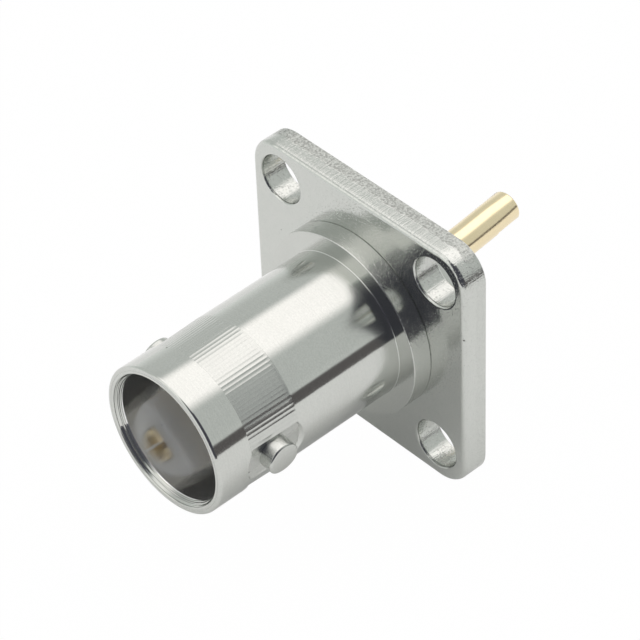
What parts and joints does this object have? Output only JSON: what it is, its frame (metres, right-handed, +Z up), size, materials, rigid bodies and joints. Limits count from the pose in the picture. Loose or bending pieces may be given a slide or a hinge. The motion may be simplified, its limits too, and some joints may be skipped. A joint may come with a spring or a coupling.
{
  "type": "bnc connector",
  "caption": "Panel-mounted bayonet coaxial jack with a square screw-down flange, a slotted socket contact in the mouth and a solder cup at the rear.",
  "frame": {"origin": "middle of the flange plate's rear face, the face that seats on the panel", "axes": "+Y along the connector's axis, out of the rear; the mouth looks to -Y; +Z up, along a side of the square plate"},
  "size_m": [0.0176, 0.028, 0.0176],
  "materials": {
    "turned_nickel": "bright nickel plate over turned brass",
    "stamped_nickel": "bright nickel plate over a stamped plate",
    "insulator": "waxy white fluoropolymer",
    "gold_contact": "pale gold plate over turned bronze"
  },
  "bodies": {
    "root": {"shell": "turned_nickel", "flange_plate": "stamped_nickel", "front_insulator": "insulator", "rear_insulator": "insulator", "closing_bush": "turned_nickel", "centre_contact": "gold_contact"}
  },
  "joints": []
}
